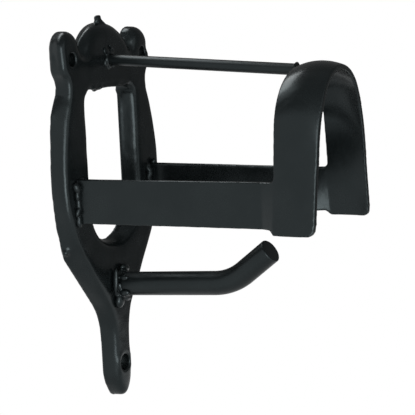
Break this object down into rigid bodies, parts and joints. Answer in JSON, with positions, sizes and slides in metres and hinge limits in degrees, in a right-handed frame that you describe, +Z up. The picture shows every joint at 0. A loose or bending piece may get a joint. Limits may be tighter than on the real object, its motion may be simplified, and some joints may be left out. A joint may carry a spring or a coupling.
{
  "type": "bridle bracket",
  "caption": "Wall bracket for a horse's bridle: cast plate with a window, saddle-shaped sheet arch on flat arms with a stay rod, and a bent bar hook for the reins.",
  "frame": {"origin": "on the wall plane, midway between the upper pair of screw holes", "axes": "+Z up, +X to the right as seen from the room, +Y into the wall: the bracket stands out towards -Y"},
  "size_m": [0.1032, 0.1573, 0.2276],
  "materials": {
    "coated_casting": "satin black powder coat over cast iron, edges softened",
    "coated_sheet": "satin black powder coat over pressed steel sheet",
    "coated_bar": "satin black powder coat over round steel bar",
    "coated_weld": "satin black powder coat over a lumpy weld bead"
  },
  "bodies": {
    "root": {"back_plate": "coated_casting", "saddle_yoke": "coated_sheet", "stay_rod": "coated_bar", "rein_hook": "coated_bar", "right_arm_outer_weld": "coated_weld", "right_arm_inner_weld": "coated_weld", "left_arm_outer_weld": "coated_weld", "left_arm_inner_weld": "coated_weld", "rod_plate_weld": "coated_weld", "rod_arch_weld": "coated_weld", "hook_plate_weld": "coated_weld"}
  },
  "joints": []
}
